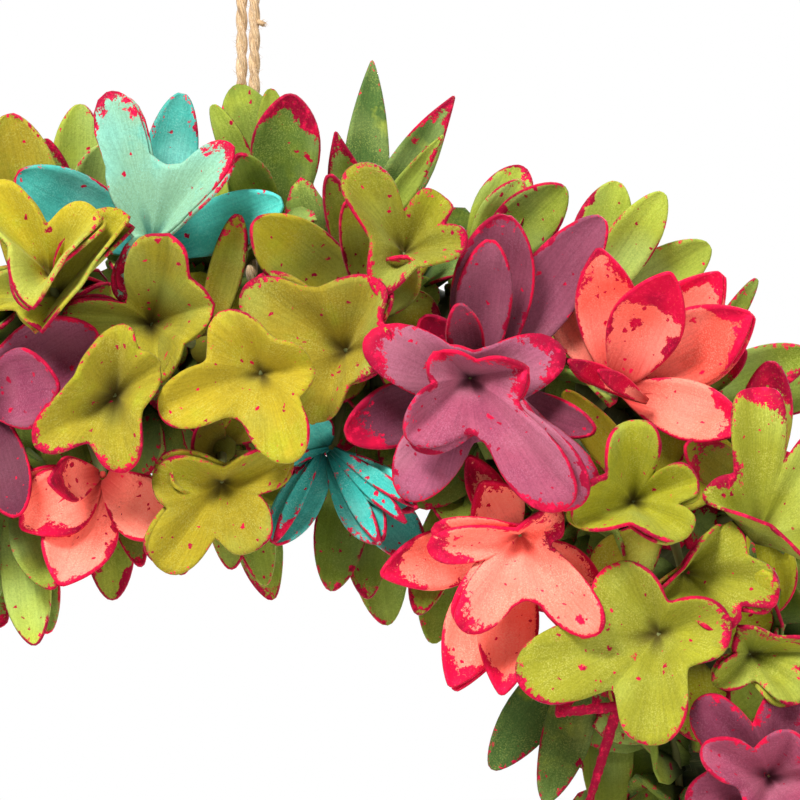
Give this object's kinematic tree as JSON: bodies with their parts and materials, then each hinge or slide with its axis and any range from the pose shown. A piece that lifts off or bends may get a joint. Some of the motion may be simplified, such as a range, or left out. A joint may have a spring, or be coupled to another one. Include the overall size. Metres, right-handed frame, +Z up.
{
  "type": "spring floral wreath",
  "caption": "Round hanging wreath of dyed husk blooms, lime cups and leaves on a bound ring, with a doubled jute cord that ends in an eye.",
  "frame": {"origin": "inside top of the cord's eye, where it rests on a hook; the ring's centre is 290 mm below it", "axes": "+Z up along the cord, -Y out of the wreath's front, +Y toward the wall, +X to the right seen from the front"},
  "size_m": [0.4188, 0.0994, 0.501],
  "materials": {
    "core": "matte, wound floral paper over a straw ring",
    "jute": "two-ply jute, fibrous",
    "coral": "dyed plant husk, suede-like, with crimson painted edges",
    "mauve": "dyed plant husk, suede-like, with crimson painted edges",
    "teal": "dyed plant husk, suede-like, with crimson painted edges",
    "lime": "dyed plant husk, suede-like, with crimson painted edges",
    "leaf": "dyed plant husk, suede-like, with crimson painted edges"
  },
  "bodies": {
    "root": {"coral_east": "coral", "coral_inner": "coral", "coral_spray_12": "coral", "coral_spray_17": "coral", "coral_spray_2": "coral", "coral_spray_7": "coral", "coral_west": "coral", "cord_seizing": "jute", "cord_sling": "jute", "core_ring": "core", "hanging_cord": "jute", "leafy_stem_inner_1": "leaf", "leafy_stem_inner_2": "leaf", "leafy_stem_inner_3": "leaf", "leafy_stem_inner_4": "leaf", "leafy_stem_outer_1": "leaf", "leafy_stem_outer_2": "leaf", "leafy_stem_outer_3": "leaf", "leafy_stem_outer_4": "leaf", "leafy_stem_outer_5": "leaf", "leaves_inner_1": "leaf", "leaves_inner_2": "leaf", "leaves_inner_3": "leaf", "leaves_inner_4": "leaf", "leaves_inner_5": "leaf", "leaves_inner_6": "leaf", "leaves_outer_1": "leaf", "leaves_outer_2": "leaf", "leaves_outer_3": "leaf", "leaves_outer_4": "leaf", "leaves_outer_5": "leaf", "leaves_outer_6": "leaf", "lime_centre": "lime", "lime_east": "lime", "lime_far_east": "lime", "lime_inner": "lime", "lime_north": "lime", "lime_northwest": "lime", "lime_southeast": "lime", "lime_spray_1": "lime", "lime_spray_11": "lime", "lime_spray_14": "lime", "lime_spray_16": "lime", "lime_spray_19": "lime", "lime_spray_4": "lime", "lime_spray_6": "lime", "lime_spray_9": "lime", "mauve_front": "mauve", "mauve_rosette": "mauve", "mauve_spray_10": "mauve", "mauve_spray_15": "mauve", "mauve_spray_20": "mauve", "mauve_spray_5": "mauve", "mauve_west": "mauve", "teal_fan": "teal", "teal_north": "teal", "teal_spray_13": "teal", "teal_spray_18": "teal", "teal_spray_3": "teal", "teal_spray_8": "teal"}
  },
  "joints": []
}
